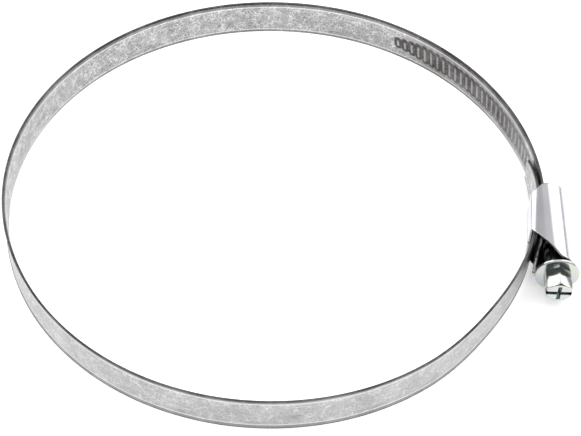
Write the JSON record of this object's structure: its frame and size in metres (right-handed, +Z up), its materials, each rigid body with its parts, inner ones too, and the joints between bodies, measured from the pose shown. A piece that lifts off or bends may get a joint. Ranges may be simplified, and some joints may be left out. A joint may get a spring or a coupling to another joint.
{
  "type": "worm drive hose clamp",
  "caption": "Slack ring of embossed steel band whose threaded end a worm screw draws through a folded housing, to clamp a hose.",
  "frame": {"origin": "on the surface that the clamp lies on, under the middle of its box", "axes": "+Z up across the band's width, +X from the ring's centre towards the housing, -Y the way the screw's head points"},
  "size_m": [0.1616, 0.1508, 0.0142],
  "materials": {
    "band_zinc": "satin zinc plate with a fine crystal mottle",
    "housing_zinc": "smooth bright zinc plate",
    "screw_zinc": "bright zinc plate with a faint yellow and blue tint"
  },
  "bodies": {
    "clamp_base": {"housing": "housing_zinc", "band_fixed_end": "band_zinc"},
    "tail": {"band_threaded_end": "band_zinc"},
    "screw": {"worm_screw": "screw_zinc"},
    "band_link_01": {"band_link_01": "band_zinc"},
    "band_link_02": {"band_link_02": "band_zinc"},
    "band_link_03": {"band_link_03": "band_zinc"},
    "band_link_04": {"band_link_04": "band_zinc"},
    "band_link_05": {"band_link_05": "band_zinc"},
    "band_link_06": {"band_link_06": "band_zinc"},
    "band_link_07": {"band_link_07": "band_zinc"},
    "band_link_08": {"band_link_08": "band_zinc"}
  },
  "joints": [
    {"name": "band_feed", "type": "hinge", "parent": "clamp_base", "child": "tail", "pos_m": [-0.00452, -0.00108, 0.0071], "axis": [0, 0, -1], "range_deg": [0, 47]},
    {"name": "screw_turn", "type": "hinge", "parent": "clamp_base", "child": "screw", "pos_m": [0.07458, -0.01048, 0.0071], "axis": [0, 1, 0], "range_deg": [0, 9195.6]},
    {"name": "bend_01", "type": "hinge", "parent": "tail", "child": "band_link_01", "pos_m": [0.02156, 0.07062, 0.0071], "axis": [0, 0, 1], "range_deg": [0, 7.51]},
    {"name": "bend_02", "type": "hinge", "parent": "band_link_01", "child": "band_link_02", "pos_m": [-0.0247, 0.07235, 0.0071], "axis": [0, 0, 1], "range_deg": [0, 6.17]},
    {"name": "bend_03", "type": "hinge", "parent": "band_link_02", "child": "band_link_03", "pos_m": [-0.06258, 0.04825, 0.0071], "axis": [0, 0, 1], "range_deg": [0, 5.03]},
    {"name": "bend_04", "type": "hinge", "parent": "band_link_03", "child": "band_link_04", "pos_m": [-0.08012, 0.00703, 0.0071], "axis": [0, 0, 1], "range_deg": [0, 4.4]},
    {"name": "bend_05", "type": "hinge", "parent": "band_link_04", "child": "band_link_05", "pos_m": [-0.07104, -0.0368, 0.0071], "axis": [0, 0, 1], "range_deg": [0, 4.48]},
    {"name": "bend_06", "type": "hinge", "parent": "band_link_05", "child": "band_link_06", "pos_m": [-0.03858, -0.06752, 0.0071], "axis": [0, 0, 1], "range_deg": [0, 5.24]},
    {"name": "bend_07", "type": "hinge", "parent": "band_link_06", "child": "band_link_07", "pos_m": [0.0055, -0.07422, 0.0071], "axis": [0, 0, 1], "range_deg": [0, 6.45]},
    {"name": "bend_08", "type": "hinge", "parent": "band_link_07", "child": "band_link_08", "pos_m": [0.0452, -0.05439, 0.0071], "axis": [0, 0, 1], "range_deg": [0, 7.83]}
  ],
  "couplings": [
    {"joint": "band_feed", "follows": "screw_turn", "ratio": 0.0051111},
    {"joint": "bend_01", "follows": "screw_turn", "ratio": 0.00081543},
    {"joint": "bend_02", "follows": "screw_turn", "ratio": 0.0006693},
    {"joint": "bend_03", "follows": "screw_turn", "ratio": 0.00054587},
    {"joint": "bend_04", "follows": "screw_turn", "ratio": 0.00047738},
    {"joint": "bend_05", "follows": "screw_turn", "ratio": 0.00048556},
    {"joint": "bend_06", "follows": "screw_turn", "ratio": 0.00056784},
    {"joint": "bend_07", "follows": "screw_turn", "ratio": 0.00069976},
    {"joint": "bend_08", "follows": "screw_turn", "ratio": 0.00084998}
  ]
}
